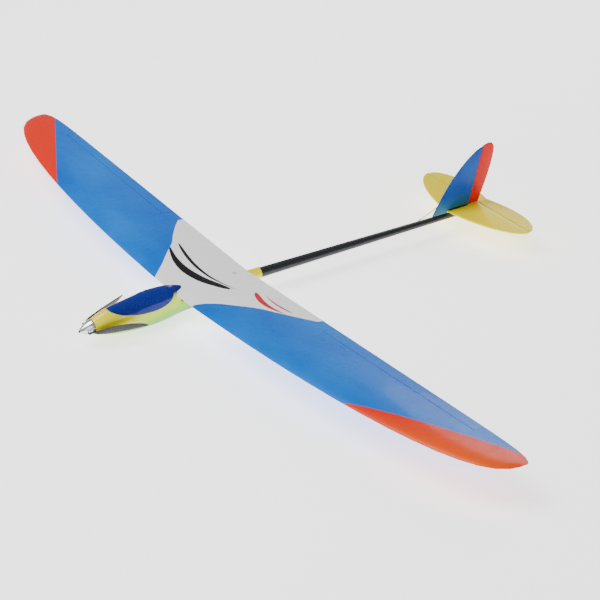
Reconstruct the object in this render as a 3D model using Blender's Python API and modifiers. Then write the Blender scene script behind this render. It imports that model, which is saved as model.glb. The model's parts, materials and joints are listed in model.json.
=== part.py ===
"""RC sailplane: a 1.65 m electric glider with a moulded pod, a tapered carbon boom and a dihedral wing.

Frame: +X towards the nose, +Y towards the left wing tip, +Z up, in metres.
The origin is the centre of the flat belly face. The boom's axis runs along X, BOOM_Z above the belly.
"""

import math

import bmesh
import bpy
from mathutils import Matrix, Vector

MM = 0.001
GAP = 0.0003

# Fuselage datum
BOOM_Z = 0.0365
POD_FRONT_X = 0.1045
POD_REAR_X = -0.2455
POD_WALL = 0.0013
POD_POINTS = 22

# Wing
HALF_SPAN = 0.825
WING_TE_X = -0.2217
WING_TE_Z = 0.0456
ROOT_CHORD = 0.1613
TIP_X = -0.2195
TE_SWEEP = 0.0198
INCIDENCE = math.radians(1.15)
DIHEDRAL = math.radians(1.44)
AIRFOIL_THICKNESS = 0.086
AIRFOIL_CAMBER = 0.02
CAMBER_PLACE = 0.4
TE_THICKNESS = 0.0009
AIRFOIL_POINTS = 9
SPAN_STATIONS = 15

# Ailerons and their linkages
AILERON_INNER_Y = 0.282
AILERON_OUTER_Y = 0.700
AILERON_INNER_CHORD = 0.028
AILERON_OUTER_CHORD = 0.024
AILERON_BEVEL = math.radians(27)
LINK_Y = 0.330
HORN_RADIUS = 0.0100

# Wing fittings
JOINER_X = -0.1140
JOINER_REACH = 0.110
JOINER_WIDTH = 0.0100
JOINER_HEIGHT = 0.0050
BOLT_X = -0.1927
DOWEL_Z = 0.0495

# Boom and tail
BOOM_FRONT_X = -0.2228
BOOM_REAR_X = -0.7470
BOOM_FRONT_RADIUS = 0.0101
BOOM_REAR_RADIUS = 0.0055
BOOM_WALL = 0.0010
STAB_HALF_SPAN = 0.1624
STAB_TIP_X = -0.7532
STAB_Z = 0.0462
STAB_THICKNESS = 0.0040
ELEVATOR_HINGE_X = -0.7560
ELEVATOR_THICKNESS = 0.0036
FIN_THICKNESS = 0.0040
RUDDER_THICKNESS = 0.0034
HINGE_FOOT = Vector((-0.7310, 0.0, 0.0473))
HINGE_HEAD = Vector((-0.7626, 0.0, 0.1621))

# Power unit, along the thrust line
THRUST_ORIGIN = Vector((0.1070, 0.0, 0.0295))
DOWNTHRUST = math.radians(5)
BLADE_AZIMUTH = math.radians(-8)
SPINNER_RADIUS = 0.0148
SPINNER_LENGTH = 0.0242
PIN_X = 0.0080
PIN_Y = 0.0115
BLADE_SPLAY = math.radians(16)
BLADE_OFFSET = 0.0062
BLADE_LENGTH = 0.104

# Fuselage servos and pushrods
ROD_Y = 0.0035
ROD_Z = 0.0371
ROD_RADIUS = 0.00075
SERVO_OFFSET = 0.0045
FUSELAGE_ARM = 0.0080


# ---------------------------------------------------------------- helpers

def clear_scene():
    for obj in list(bpy.data.objects):
        bpy.data.objects.remove(obj)
    for mesh in list(bpy.data.meshes):
        bpy.data.meshes.remove(mesh)


clear_scene()
MODEL = bpy.data.collections.new("rc_sailplane")
CUTTERS = bpy.data.collections.new("cutters")
bpy.context.scene.collection.children.link(MODEL)
bpy.context.scene.collection.children.link(CUTTERS)


def material(name, colour, roughness, metallic=0.0):
    mat = bpy.data.materials.new(name)
    mat.use_nodes = True
    shader = mat.node_tree.nodes["Principled BSDF"]
    shader.inputs["Base Color"].default_value = (*colour, 1.0)
    shader.inputs["Roughness"].default_value = roughness
    shader.inputs["Metallic"].default_value = metallic
    return mat


BLUE_FILM = material("blue_film", (0.04, 0.30, 0.65), 0.25)
YELLOW_FILM = material("yellow_film", (0.80, 0.78, 0.01), 0.25)
RED_FILM = material("red_film", (0.80, 0.06, 0.02), 0.25)
FIN_FILM = material("fin_film", (0.01, 0.10, 0.40), 0.25)
YELLOW_SHELL = material("yellow_shell", (0.85, 0.80, 0.01), 0.2)
CANOPY_BLUE = material("canopy_blue", (0.02, 0.05, 0.30), 0.12)
CARBON = material("carbon", (0.012, 0.014, 0.014), 0.35)
ALUMINIUM = material("aluminium", (0.80, 0.81, 0.82), 0.2, 1.0)
STEEL = material("steel", (0.55, 0.55, 0.56), 0.3, 1.0)
BLACK_PLASTIC = material("black_plastic", (0.015, 0.015, 0.017), 0.45)
WHITE_NYLON = material("white_nylon", (0.75, 0.75, 0.73), 0.4)
SERVO_BLUE = material("servo_case", (0.03, 0.05, 0.12), 0.35)
PLYWOOD = material("plywood", (0.55, 0.38, 0.20), 0.6)
BATTERY_WRAP = material("battery_wrap", (0.04, 0.08, 0.30), 0.35)
COPPER = material("windings", (0.60, 0.25, 0.08), 0.35, 1.0)
FABRIC_BLACK = material("strap_fabric", (0.02, 0.02, 0.02), 0.9)


def finish_object(obj, mat, parent=None, cutter=False):
    """Puts a new object in its collection, under its parent's frame if it has one."""
    for home in list(obj.users_collection):
        home.objects.unlink(obj)
    (CUTTERS if cutter else MODEL).objects.link(obj)
    if cutter:
        obj.hide_render = True
        obj.display_type = "WIRE"
    elif mat:
        obj.data.materials.clear()
        obj.data.materials.append(mat)
    if parent:
        obj.parent = parent
    return obj


def from_bmesh(name, bm, mat=None, parent=None, cutter=False):
    bmesh.ops.recalc_face_normals(bm, faces=bm.faces)
    if bm.calc_volume(signed=True) < 0:
        bmesh.ops.reverse_faces(bm, faces=bm.faces)
    mesh = bpy.data.meshes.new(name)
    bm.to_mesh(mesh)
    bm.free()
    obj = bpy.data.objects.new(name, mesh)
    return finish_object(obj, mat, parent, cutter)


def loft(name, rings, mat=None, parent=None, cutter=False):
    """Closed solid through rings of equal point counts, capped at both ends."""
    bm = bmesh.new()
    rows = [[bm.verts.new(p) for p in ring] for ring in rings]
    count = len(rings[0])
    for row, following in zip(rows, rows[1:]):
        for k in range(count):
            n = (k + 1) % count
            bm.faces.new((row[k], row[n], following[n], following[k]))
    bmesh.ops.triangulate(bm, faces=bm.faces, quad_method="SHORT_EDGE")
    bm.faces.new(rows[0])
    bm.faces.new(rows[-1])
    obj = from_bmesh(name, bm, mat, parent, cutter)
    obj.data.shade_smooth()
    obj.data.set_sharp_from_angle(angle=math.radians(35))
    return obj


def box(name, low, high, mat=None, parent=None, cutter=False, bevel=0.0):
    low, high = Vector(low), Vector(high)
    bm = bmesh.new()
    bmesh.ops.create_cube(bm, size=1.0)
    bmesh.ops.scale(bm, vec=high - low, verts=bm.verts)
    bmesh.ops.translate(bm, vec=(low + high) / 2, verts=bm.verts)
    obj = from_bmesh(name, bm, mat, parent, cutter)
    if bevel:
        rounding = obj.modifiers.new("edges", "BEVEL")
        rounding.width = bevel
        rounding.segments = 2
    return obj


def cylinder(name, start, end, radius, mat=None, parent=None, cutter=False, sides=16):
    start, end = Vector(start), Vector(end)
    along = end - start
    bm = bmesh.new()
    bmesh.ops.create_cone(
        bm, cap_ends=True, segments=sides, radius1=radius, radius2=radius, depth=along.length
    )
    turn = Vector((0, 0, 1)).rotation_difference(along).to_matrix().to_4x4()
    bm.transform(Matrix.Translation((start + end) / 2) @ turn)
    return from_bmesh(name, bm, mat, parent, cutter)


def signed_volume(obj):
    bpy.context.view_layer.update()
    evaluated = obj.evaluated_get(bpy.context.evaluated_depsgraph_get())
    bm = bmesh.new()
    bm.from_mesh(evaluated.to_mesh())
    volume = bm.calc_volume(signed=True)
    bm.free()
    return volume


def turned(name, profile, mat, parent=None, sides=24):
    """Solid of revolution about local X. The profile is a closed loop of (x, radius), clear of the axis."""
    bm = bmesh.new()
    loop = [bm.verts.new((x, 0.0, r)) for x, r in profile]
    for a, b in zip(loop, loop[1:] + loop[:1]):
        bm.edges.new((a, b))
    mesh = bpy.data.meshes.new(name)
    bm.to_mesh(mesh)
    bm.free()
    obj = bpy.data.objects.new(name, mesh)
    finish_object(obj, mat, parent)
    screw = obj.modifiers.new("turn", "SCREW")
    screw.axis = "X"
    screw.steps = sides
    screw.render_steps = sides
    screw.use_merge_vertices = True
    screw.merge_threshold = 0.00002
    screw.use_normal_flip = signed_volume(obj) < 0
    return obj


def boolean(obj, cutter, operation="DIFFERENCE"):
    cut = obj.modifiers.new(cutter.name, "BOOLEAN")
    cut.operation = operation
    cut.solver = "EXACT"
    cut.object = cutter


def curve_to_mesh(obj, mat, parent=None, cutter=False, weld=0.000005):
    """Swaps a curve object for the welded mesh of its evaluated shape."""
    bpy.context.view_layer.update()
    graph = bpy.context.evaluated_depsgraph_get()
    mesh = bpy.data.meshes.new_from_object(obj.evaluated_get(graph))
    bm = bmesh.new()
    bm.from_mesh(mesh)
    bmesh.ops.remove_doubles(bm, verts=bm.verts, dist=weld)
    bmesh.ops.dissolve_degenerate(bm, edges=bm.edges, dist=weld)
    bm.transform(obj.matrix_world)
    name = obj.name
    bpy.data.objects.remove(obj)
    return from_bmesh(name, bm, mat, parent, cutter)


def plate(name, outline, low, high, plane="XY", mat=None, parent=None, cutter=False, rounding=0.0):
    """Flat plate of a 2D outline, from level low to level high along the third axis."""
    data = bpy.data.curves.new(name, "CURVE")
    data.dimensions = "2D"
    data.fill_mode = "BOTH"
    data.extrude = (high - low) / 2 - rounding
    if rounding:
        data.bevel_depth = rounding
        data.bevel_resolution = 2
        data.offset = -rounding
    spline = data.splines.new("POLY")
    spline.points.add(len(outline) - 1)
    for point, (u, v) in zip(spline.points, outline):
        point.co = (u, v, 0.0, 1.0)
    spline.use_cyclic_u = True
    obj = bpy.data.objects.new(name, data)
    bpy.context.scene.collection.objects.link(obj)
    middle = (low + high) / 2
    if plane == "XY":
        obj.location = (0, 0, middle)
    else:
        obj.rotation_euler = (math.radians(90), 0, 0)
        obj.location = (0, middle, 0)
    return curve_to_mesh(obj, mat, parent, cutter)


def wire(name, route, radius, mat, parent=None):
    """Round rod along a list of points."""
    data = bpy.data.curves.new(name, "CURVE")
    data.dimensions = "3D"
    data.bevel_depth = radius
    data.bevel_resolution = 2
    data.use_fill_caps = True
    spline = data.splines.new("POLY")
    spline.points.add(len(route) - 1)
    for point, place in zip(spline.points, route):
        point.co = (*place, 1.0)
    obj = bpy.data.objects.new(name, data)
    bpy.context.scene.collection.objects.link(obj)
    return curve_to_mesh(obj, mat, parent)


def pivot(name, place, rotation=(0, 0, 0), parent=None):
    """Empty on a joint's axis."""
    empty = bpy.data.objects.new(name, None)
    empty.empty_display_size = 0.01
    empty.location = place
    empty.rotation_euler = rotation
    MODEL.objects.link(empty)
    if parent:
        empty.parent = parent
    return empty


def hang(obj, empty):
    """Parents an object that is already in place to an empty, and leaves it where it is."""
    bpy.context.view_layer.update()
    obj.parent = empty
    obj.matrix_parent_inverse = empty.matrix_world.inverted()


def bezier(p0, p1, p2, p3, steps):
    """Points of a cubic curve, without its last one."""
    points = []
    for k in range(steps):
        t = k / steps
        s = 1 - t
        weights = (s**3, 3 * s * s * t, 3 * s * t * t, t**3)
        points.append(tuple(sum(w * p[i] for w, p in zip(weights, (p0, p1, p2, p3))) for i in range(2)))
    return points


def smooth(table, x):
    """Smooth value at x through a table of rows (x, value, value, ...) sorted by falling x."""
    rows = sorted(table)
    xs = [row[0] for row in rows]
    i = max(0, min(len(xs) - 2, sum(1 for v in xs if v <= x) - 1))
    span = xs[i + 1] - xs[i]
    t = max(0.0, min(1.0, (x - xs[i]) / span))
    values = []
    for column in range(1, len(rows[0])):
        v = [row[column] for row in rows]
        steps = [(v[k + 1] - v[k]) / (xs[k + 1] - xs[k]) for k in range(len(xs) - 1)]

        def slope(k):
            if k == 0 or k == len(xs) - 1:
                return steps[0] if k == 0 else steps[-1]
            a, b = steps[k - 1], steps[k]
            return 0.0 if a * b <= 0 else 2 * a * b / (a + b)

        h00 = 2 * t**3 - 3 * t**2 + 1
        h10 = t**3 - 2 * t**2 + t
        values.append(
            h00 * v[i]
            + h10 * span * slope(i)
            + (1 - h00) * v[i + 1]
            + (t**3 - t**2) * span * slope(i + 1)
        )
    return values


# ---------------------------------------------------------------- wing shape

def wing_le(y):
    t = min(abs(y) / HALF_SPAN, 1.0)
    root = WING_TE_X + ROOT_CHORD
    return TIP_X + (root - TIP_X) * (1 - t**1.8) ** 0.355


def wing_te(y):
    t = min(abs(y) / HALF_SPAN, 1.0)
    straight = WING_TE_X - TE_SWEEP * abs(y)
    return TIP_X + (straight - TIP_X) * math.sqrt(1 - t**24)


def wing_plane_z(x, y):
    return WING_TE_Z + (x - WING_TE_X) * math.tan(INCIDENCE) + abs(y) * math.tan(DIHEDRAL)


def airfoil(u):
    """Half thickness and camber at chord fraction u, as fractions of the chord."""
    poly = 0.2969 * math.sqrt(u) - 0.1260 * u - 0.3516 * u**2 + 0.2843 * u**3 - 0.1036 * u**4
    half = 5 * AIRFOIL_THICKNESS * max(poly, 0.0)
    p, m = CAMBER_PLACE, AIRFOIL_CAMBER
    if u < p:
        return half, m / p**2 * (2 * p * u - u * u)
    return half, m / (1 - p) ** 2 * ((1 - 2 * p) + 2 * p * u - u * u)


def wing_surface_z(x, y, side):
    """Height of the wing's upper (side 1) or lower (side -1) surface, or of its middle (side 0)."""
    chord = wing_le(y) - wing_te(y)
    u = max(0.0, min(1.0, (wing_le(y) - x) / chord))
    half, camber = airfoil(u)
    return wing_plane_z(x, y) + chord * (camber + side * half) + side * TE_THICKNESS / 2 * u


def wing_ring(y, grow=0.0):
    """Closed section at span station y, optionally grown all round."""
    le, te = wing_le(y) + grow, wing_te(y) - grow
    ring = []
    upper = [(1 - math.cos(math.pi * k / AIRFOIL_POINTS)) / 2 for k in range(AIRFOIL_POINTS + 1)]
    for side, fractions in ((1, upper[::-1]), (-1, upper[1:])):
        for u in fractions:
            x = le - u * (le - te)
            z = wing_surface_z(x, y, side) + side * grow * (1 if u > 0 else 0)
            ring.append(Vector((x, y, z)))
    return ring


def hinge_point(y):
    """Aileron hinge line: a straight line at mid thickness between the aileron's two ends."""
    ends = []
    for end_y, chord in ((AILERON_INNER_Y, AILERON_INNER_CHORD), (AILERON_OUTER_Y, AILERON_OUTER_CHORD)):
        x = wing_te(end_y) + chord
        ends.append(Vector((x, end_y, wing_surface_z(x, end_y, 0))))
    t = (abs(y) - AILERON_INNER_Y) / (AILERON_OUTER_Y - AILERON_INNER_Y)
    place = ends[0].lerp(ends[1], t)
    place.y = y
    return place


def aileron_block(name, side, forward, end_gap, bevel):
    """Cutter behind the hinge line, with a vertical or V-shaped front."""
    rings = []
    reach = 0.012
    back = bevel * reach
    for y in (AILERON_INNER_Y + end_gap, AILERON_OUTER_Y - end_gap):
        h = hinge_point(y)
        rear = h.x - 0.06
        front = h.x + forward
        rings.append(
            [
                Vector((front, side * y, h.z)),
                Vector((front - back, side * y, h.z + reach)),
                Vector((rear, side * y, h.z + reach)),
                Vector((rear, side * y, h.z - reach)),
                Vector((front - back, side * y, h.z - reach)),
            ]
        )
    return loft(name, rings, cutter=True)


def bar_rings(x, reach, width, height):
    """Rectangular rings of the joiner bar, which bends with the dihedral."""
    rings = []
    for y in (-reach, 0.0, reach):
        z = wing_surface_z(x, 0.0, 0) + abs(y) * math.tan(DIHEDRAL)
        rings.append(
            [
                Vector((x + dx * width / 2, y, z + dz * height / 2))
                for dx, dz in ((1, 1), (-1, 1), (-1, -1), (1, -1))
            ]
        )
    return rings


def make_wing():
    pocket = loft(
        "joiner_pocket",
        bar_rings(JOINER_X, JOINER_REACH + GAP, JOINER_WIDTH + 2 * GAP, JOINER_HEIGHT + 2 * GAP),
        cutter=True,
    )
    bolt_top = wing_surface_z(BOLT_X, 0.0, 1)
    bolt_hole = cylinder("bolt_hole", (BOLT_X, 0, 0.03), (BOLT_X, 0, 0.06), 0.0029, cutter=True, sides=18)
    recess = cylinder(
        "bolt_recess", (BOLT_X, 0, bolt_top - 0.0030), (BOLT_X, 0, 0.07), 0.0050, cutter=True
    )
    dowel_hole = cylinder("dowel_hole", (-0.079, 0, DOWEL_Z), (-0.04, 0, DOWEL_Z), 0.0028, cutter=True)
    stations = [math.sin(0.5 * math.pi * k / SPAN_STATIONS) for k in range(SPAN_STATIONS)] + [0.9993]
    for side, word in ((1, "left"), (-1, "right")):
        rings = [wing_ring(side * max(t * HALF_SPAN, GAP / 2)) for t in stations]
        panel = loft("wing_panel_" + word, rings, BLUE_FILM)
        bay = aileron_block("aileron_bay_" + word, side, 0.0004, -0.0006, 0.03)
        pocket_x = hinge_point(LINK_Y).x + 0.0655
        floor = wing_surface_z(pocket_x, LINK_Y, -1)
        servo_pocket = box(
            "servo_pocket_" + word,
            (pocket_x - 0.0123, side * LINK_Y - 0.0125, floor - 0.01),
            (pocket_x + 0.0123, side * LINK_Y + 0.0125, floor + 0.0083),
            cutter=True,
        )
        for cutter in (bay, pocket, bolt_hole, recess, dowel_hole, servo_pocket):
            boolean(panel, cutter)
        blank = loft("aileron_" + word, rings, BLUE_FILM)
        wedge = aileron_block("aileron_form_" + word, side, 0.0, 0.0, math.tan(AILERON_BEVEL))
        boolean(blank, wedge, "INTERSECT")
        hinge = pivot("aileron_hinge_" + word, hinge_point(side * AILERON_INNER_Y))
        hang(blank, hinge)
        make_aileron_linkage(side, word, hinge, pocket_x, floor)
    loft("wing_joiner", bar_rings(JOINER_X, JOINER_REACH, JOINER_WIDTH, JOINER_HEIGHT), CARBON)
    cylinder("wing_dowel", (-0.0787, 0, DOWEL_Z), (-0.0560, 0, DOWEL_Z), 0.0025, CARBON)
    turned(
        "wing_bolt",
        [
            (0.0, 0.0004),
            (0.0, 0.0045),
            (-0.0024, 0.0045),
            (-0.0024, 0.0024),
            (-0.0215, 0.0024),
            (-0.0215, 0.0004),
        ],
        WHITE_NYLON,
        pivot("bolt_axis", (BOLT_X, 0, bolt_top - 0.0003), (0, math.radians(-90), 0)),
        16,
    )


def make_aileron_linkage(side, word, hinge, servo_x, floor):
    """Servo in the wing's underside, its arm, the pushrod and the aileron's horn, all below the wing."""
    y = side * LINK_Y
    hinge_at = hinge_point(y)
    arm_x = servo_x - 0.0055
    link_z = hinge_at.z - HORN_RADIUS
    arm_z = link_z + HORN_RADIUS
    case = box(
        "aileron_servo_" + word,
        (servo_x - 0.0115, y - 0.0110, floor - 0.0006),
        (servo_x + 0.0115, y + 0.0080, floor + 0.0080),
        SERVO_BLUE,
        bevel=0.0006,
    )
    slot = box(
        "arm_slot_" + word,
        (arm_x - 0.0055, y - 0.0016, floor - 0.01),
        (arm_x + 0.0055, y + 0.0016, floor + 0.0074),
        cutter=True,
    )
    boolean(case, slot)
    arm_pivot = pivot("servo_shaft_" + word, (arm_x, y, arm_z))
    arm = plate(
        "aileron_servo_arm_" + word,
        arm_outline(arm_x, arm_z, 0.0026, 0.0013, HORN_RADIUS + 0.0014),
        y - 0.0007,
        y + 0.0007,
        "XZ",
        WHITE_NYLON,
    )
    hang(arm, arm_pivot)
    front, rear = hinge_at.x - 0.0028, hinge_at.x - 0.0120
    skin_front = wing_surface_z(front, y, -1) - GAP
    skin_rear = wing_surface_z(rear, y, -1) - GAP
    horn = plate(
        "aileron_horn_" + word,
        [
            (front, skin_front),
            (rear, skin_rear),
            (rear, skin_rear - 0.0010),
            (front - 0.0040, skin_front - 0.0018),
            (hinge_at.x - 0.0012, link_z - 0.0018),
            (hinge_at.x + 0.0012, link_z - 0.0018),
        ],
        y - 0.0007,
        y + 0.0007,
        "XZ",
        WHITE_NYLON,
    )
    hang(horn, hinge)
    rod_y = y + 0.0007 + GAP + ROD_RADIUS
    rod = wire(
        "aileron_pushrod_" + word,
        [(hinge_at.x - 0.0015, rod_y, link_z), (arm_x + 0.0015, rod_y, link_z)],
        ROD_RADIUS,
        STEEL,
    )
    hang(rod, pivot("aileron_rod_slide_" + word, (hinge_at.x, rod_y, link_z)))


def arm_outline(x, z, hub, tip, length, steps=8):
    """Servo arm in the XZ plane: a round hub at (x, z) and a rounded tip straight below it."""
    points = []
    for k in range(steps + 1):
        a = math.pi * k / steps
        points.append((x + hub * math.cos(a), z + hub * math.sin(a)))
    low = z - length + tip
    for k in range(steps // 2 + 1):
        a = math.pi + math.pi * k / (steps // 2)
        points.append((x + tip * math.cos(a), low + tip * math.sin(a)))
    return points


# ---------------------------------------------------------------- pod and canopy

# Outer form: x, centre z, half width, top z, bottom z, upper exponent, plane tilt in degrees.
POD_FORM = [
    (0.1045, 0.0297, 0.0148, 0.0445, 0.0149, 2.00, 5.0),
    (0.0970, 0.0299, 0.0160, 0.0478, 0.0128, 2.00, 4.5),
    (0.0750, 0.0305, 0.0190, 0.0565, 0.0055, 2.00, 2.5),
    (0.0470, 0.0315, 0.0208, 0.0615, 0.0005, 2.00, 0.0),
    (0.0220, 0.0325, 0.0218, 0.0651, -0.0018, 2.00, 0.0),
    (-0.0080, 0.0325, 0.0220, 0.0697, -0.0022, 2.00, 0.0),
    (-0.0440, 0.0325, 0.0203, 0.0685, 0.0010, 2.00, 0.0),
    (-0.0520, 0.0325, 0.0195, 0.0673, 0.0025, 1.90, 0.0),
    (-0.0600, 0.0325, 0.0188, 0.0655, 0.0040, 1.45, 0.0),
    (-0.0670, 0.0325, 0.0182, 0.0635, 0.0049, 1.10, 0.0),
    (-0.0740, 0.0327, 0.0176, 0.0613, 0.0057, 0.95, 0.0),
    (-0.0775, 0.0328, 0.0173, 0.0595, 0.0060, 0.92, 0.0),
    (-0.0800, 0.0328, 0.0171, 0.0500, 0.0063, 1.60, 0.0),
    (-0.1100, 0.0332, 0.0152, 0.0500, 0.0088, 2.00, 0.0),
    (-0.1750, 0.0350, 0.0127, 0.0480, 0.0188, 2.00, 0.0),
    (-0.2050, 0.0360, 0.0119, 0.0478, 0.0235, 2.00, 0.0),
    (-0.2200, 0.0364, 0.0115, 0.0479, 0.0248, 2.00, 0.0),
    (-0.2455, 0.0365, 0.0110, 0.0475, 0.0255, 2.00, 0.0),
]
POD_STATIONS = (
    [0.1045 - 0.0142 * k for k in range(10)]
    + [-0.0370, -0.0470, -0.0530, -0.0590, -0.0660, -0.0730, -0.0775, -0.0800]
    + [-0.0950, -0.1150, -0.1400, -0.1700, -0.1950, -0.2080, -0.2220, -0.2455]
)
SEAT_TOP_Z = 0.0460
CANOPY_REST_Z = 0.0545


def form_ring(x, zc, width, top, bottom, exponent, tilt, floor=None, count=POD_POINTS):
    ring = []
    lean = math.tan(math.radians(tilt))
    for k in range(count):
        a = 2 * math.pi * (k + 0.5) / count
        c, s = math.cos(a), math.sin(a)
        n = exponent if s > 0 else 2.0
        y = width * math.copysign(abs(c) ** (2 / n), c)
        z = zc + (top - zc if s > 0 else zc - bottom) * math.copysign(abs(s) ** (2 / n), s)
        if floor is not None:
            z = max(z, floor)
        ring.append(Vector((x + (z - zc) * lean, y, z)))
    return ring


def boom_radius(x):
    t = (x - BOOM_FRONT_X) / (BOOM_REAR_X - BOOM_FRONT_X)
    return BOOM_FRONT_RADIUS + t * (BOOM_REAR_RADIUS - BOOM_FRONT_RADIUS)


def inner_ring(x):
    zc, width, top, bottom, exponent, tilt = smooth(POD_FORM, x)
    if x < BOOM_FRONT_X + 2 * GAP:
        r = boom_radius(x) + GAP
        return form_ring(x, BOOM_Z, r, BOOM_Z + r, BOOM_Z - r, 2.0, 0.0)
    if x < -0.0520:
        top, exponent = min(top - POD_WALL, SEAT_TOP_Z), 2.0
    else:
        top -= POD_WALL
    return form_ring(x, zc, width - POD_WALL, top, bottom + POD_WALL, exponent, tilt, POD_WALL)


def sill_outline():
    """Side view of everything above the pod's sill, closed well clear of the pod."""
    front = bezier((0.0770, 0.0580), (0.0680, 0.0465), (0.0280, 0.0355), (-0.0080, 0.0360), 12)
    rear = bezier((-0.0080, 0.0360), (-0.0330, 0.0365), (-0.0480, 0.0425), (-0.0560, CANOPY_REST_Z), 8)
    return (
        [(0.0800, 0.0800), (0.0780, 0.0600)]
        + front
        + rear
        + [(-0.0560, CANOPY_REST_Z), (-0.0900, CANOPY_REST_Z), (-0.0900, 0.0800)]
    )


def trough_ring(y):
    """The wing's underside, grown a little, and everything above it."""
    under = wing_ring(y, 0.0004)[AIRFOIL_POINTS:]
    return under + [Vector((under[-1].x, y, 0.08)), Vector((under[0].x, y, 0.08))]


def shrink(outline, amount):
    """Moves each point of a closed outline inwards by the given amount."""
    centre = Vector((sum(p[0] for p in outline), sum(p[1] for p in outline))) / len(outline)
    moved = []
    for k, p in enumerate(outline):
        before, after = Vector(outline[k - 1]), Vector(outline[(k + 1) % len(outline)])
        along = (after - before).normalized()
        normal = Vector((-along.y, along.x))
        if normal.dot(centre - Vector(p)) < 0:
            normal = -normal
        moved.append(tuple(Vector(p) + normal * amount))
    return moved


def make_pod():
    outer_rings = []
    for x in POD_STATIONS:
        zc, width, top, bottom, exponent, tilt = smooth(POD_FORM, x)
        outer_rings.append(form_ring(x, zc, width, top, bottom, exponent, tilt, 0.0))
    extended = [0.1075] + POD_STATIONS[1:-2] + [BOOM_FRONT_X + 3 * GAP, BOOM_FRONT_X + GAP, -0.2500]
    inner = loft("pod_hollow", [inner_ring(x) for x in sorted(set(extended), reverse=True)], cutter=True)
    above_sill = plate("above_sill", sill_outline(), -0.04, 0.04, "XZ", cutter=True)
    lid_form = plate("lid_form", shrink(sill_outline(), GAP), -0.04, 0.04, "XZ", cutter=True)
    seat = loft("wing_seat", [wing_ring(y, 0.0004) for y in (-0.04, -0.0002, 0.0002, 0.04)], cutter=True)
    trough = loft("wing_trough", [trough_ring(y) for y in (-0.04, -0.0002, 0.0002, 0.04)], cutter=True)
    dowel_seat = cylinder("dowel_seat", (-0.0850, 0, DOWEL_Z), (-0.0530, 0, DOWEL_Z), 0.0028, cutter=True)
    pod = loft("pod_shell", outer_rings, YELLOW_SHELL)
    for cutter in (inner, above_sill, trough, dowel_seat):
        boolean(pod, cutter)
    canopy = loft("canopy", outer_rings, CANOPY_BLUE)
    boolean(canopy, inner)
    boolean(canopy, lid_form, "INTERSECT")
    boolean(canopy, seat)
    lift = pivot("canopy_lift", (0.0, 0.0, 0.0545))
    hang(canopy, lift)


def make_pod_fittings():
    box("equipment_tray", (-0.042, -0.0105, 0.0080), (0.0430, 0.0105, 0.0100), PLYWOOD)
    box("battery", (-0.0380, -0.0130, 0.0104), (0.0340, 0.0130, 0.0300), BATTERY_WRAP, bevel=0.0020)
    strap = box("battery_strap", (-0.0090, -0.0145, 0.0103), (0.0090, 0.0145, 0.0315), FABRIC_BLACK)
    strap_core = box("strap_core", (-0.02, -0.0134, 0.0000), (0.02, 0.0134, 0.0304), cutter=True)
    boolean(strap, strap_core)
    box("receiver", (-0.0360, -0.0100, 0.0330), (-0.0100, 0.0100, 0.0410), BLACK_PLASTIC, bevel=0.0010)
    box("speed_controller", (0.0450, -0.0080, 0.0110), (0.0690, 0.0080, 0.0170), BLACK_PLASTIC, bevel=0.0008)
    tray = box("servo_tray", (-0.1200, -0.0120, 0.0280), (-0.0500, 0.0120, 0.0296), PLYWOOD)
    for name, shaft_x, shaft_y, reach in (
        ("elevator", -0.0620, -SERVO_OFFSET, 1),
        ("rudder", -0.1000, SERVO_OFFSET, -1),
    ):
        make_fuselage_servo(name, shaft_x, shaft_y, reach, tray)
    box("wing_bolt_block", (-0.1990, -0.0075, 0.0280), (-0.1865, 0.0075, 0.0355), PLYWOOD)
    block = bpy.data.objects["wing_bolt_block"]
    boolean(block, cylinder("block_thread", (BOLT_X, 0, 0.02), (BOLT_X, 0, 0.04), 0.0027, cutter=True))


def make_fuselage_servo(name, shaft_x, shaft_y, reach, tray):
    rear, front = shaft_x - 0.0150, shaft_x + 0.0050
    side_view = [
        (rear, 0.0180),
        (front, 0.0180),
        (front, 0.0299),
        (front + 0.0035, 0.0299),
        (front + 0.0035, 0.0313),
        (front, 0.0313),
        (front, 0.0341),
        (rear, 0.0341),
        (rear, 0.0313),
        (rear - 0.0035, 0.0313),
        (rear - 0.0035, 0.0299),
        (rear, 0.0299),
    ]
    plate(name + "_servo", side_view, shaft_y - 0.0042, shaft_y + 0.0042, "XZ", SERVO_BLUE)
    opening = box(
        name + "_servo_opening",
        (rear - GAP, shaft_y - 0.0045, 0.02),
        (front + GAP, shaft_y + 0.0045, 0.04),
        cutter=True,
    )
    boolean(tray, opening)
    shaft = pivot(name + "_servo_shaft", (shaft_x, shaft_y, 0.0344))
    outline = []
    for k in range(9):
        a = math.pi + math.pi * k / 8
        outline.append((shaft_x + 0.0026 * math.cos(a), shaft_y + reach * 0.0026 * math.sin(a)))
    tip_y = shaft_y + reach * FUSELAGE_ARM
    for k in range(5):
        a = math.pi * k / 4
        outline.append((shaft_x + 0.0013 * math.cos(a), tip_y + reach * 0.0013 * math.sin(a)))
    arm = plate(name + "_servo_arm", outline, 0.0344, 0.0358, "XY", WHITE_NYLON)
    hang(arm, shaft)


# ---------------------------------------------------------------- boom and tail

def stab_le(y):
    s = min(abs(y) / STAB_HALF_SPAN, 1.0)
    return STAB_TIP_X + 0.0736 * (1 - s**1.4) ** 0.525


def stab_te(y):
    s = min(abs(y) / STAB_HALF_SPAN, 1.0)
    return STAB_TIP_X - 0.0385 * (1 - s**4.2) ** 0.55 + 0.015 * (1 - s) ** 3


def fin_le_curve():
    return bezier((-0.6433, 0.0436), (-0.6670, 0.0815), (-0.7050, 0.1415), (-0.7600, 0.1650), 14)


def hinge_x(z):
    t = (z - HINGE_FOOT.z) / (HINGE_HEAD.z - HINGE_FOOT.z)
    return HINGE_FOOT.x + t * (HINGE_HEAD.x - HINGE_FOOT.x)


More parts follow.
